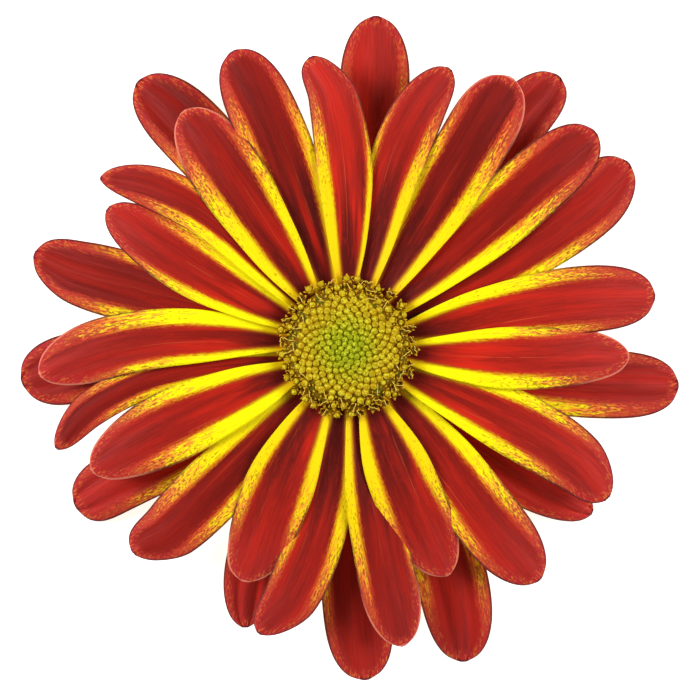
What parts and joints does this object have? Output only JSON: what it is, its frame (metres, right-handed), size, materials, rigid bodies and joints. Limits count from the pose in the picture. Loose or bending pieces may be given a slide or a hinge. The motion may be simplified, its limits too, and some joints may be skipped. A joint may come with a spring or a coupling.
{
  "type": "chrysanthemum bloom",
  "caption": "Single daisy-type flower head with long red and yellow ray florets in two whorls round a domed green-yellow disc, cut under its green back to lie face up.",
  "frame": {"origin": "middle of the flat cut face at the back of the head, on which the bloom rests", "axes": "+Z out of the face of the bloom along its axis; +X and +Y across the face, to the right and to the top as the bloom is seen from above"},
  "size_m": [0.0772, 0.0779, 0.0127],
  "materials": {
    "ray_florets": "satin",
    "disc_florets": "matte",
    "involucre": "matte"
  },
  "bodies": {
    "root": {"ray_florets": "ray_florets", "disc_florets": "disc_florets", "involucre": "involucre"}
  },
  "joints": []
}
